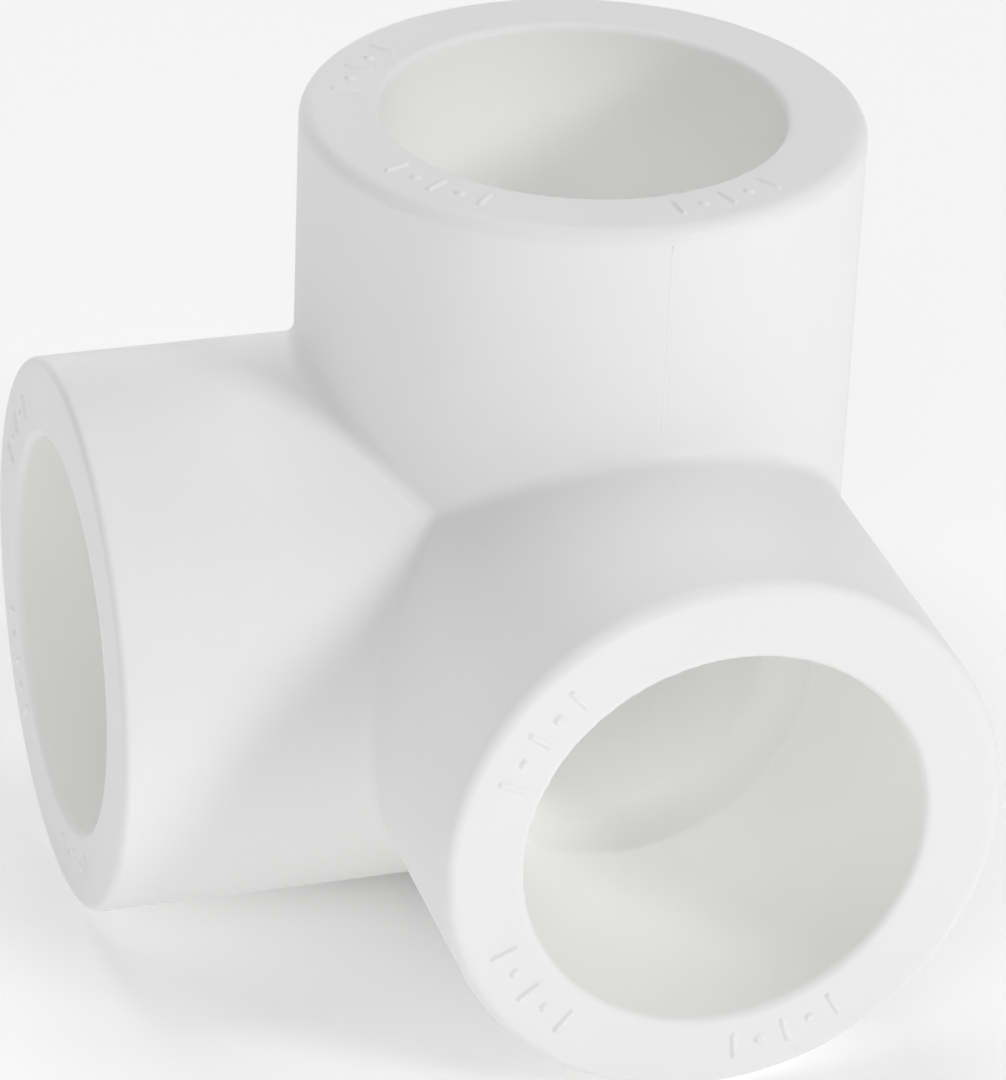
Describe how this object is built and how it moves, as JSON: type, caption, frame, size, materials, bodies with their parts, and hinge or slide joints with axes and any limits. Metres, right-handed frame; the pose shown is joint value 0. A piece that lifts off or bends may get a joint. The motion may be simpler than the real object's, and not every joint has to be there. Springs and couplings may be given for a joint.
{
  "type": "three-way corner pipe fitting",
  "caption": "White plastic socket-fusion pipe fitting: equal sockets at right angles to each other meet at a rounded hub, to join pipes round a corner in two planes.",
  "frame": {"origin": "the point where the axes of the sockets cross", "axes": "+Z out of the top socket, -X out of the left socket, -Y out of the front socket"},
  "size_m": [0.0492, 0.0492, 0.0492],
  "materials": {
    "white_polypropylene": "semi-matt moulded",
    "raised_marks": "semi-matt moulded"
  },
  "bodies": {
    "root": {"top_socket": "white_polypropylene", "top_throat": "white_polypropylene", "top_rim_marks": "raised_marks", "left_socket": "white_polypropylene", "left_throat": "white_polypropylene", "left_rim_marks": "raised_marks", "front_socket": "white_polypropylene", "front_throat": "white_polypropylene", "front_rim_marks": "raised_marks", "hub_corner": "white_polypropylene"}
  },
  "joints": []
}
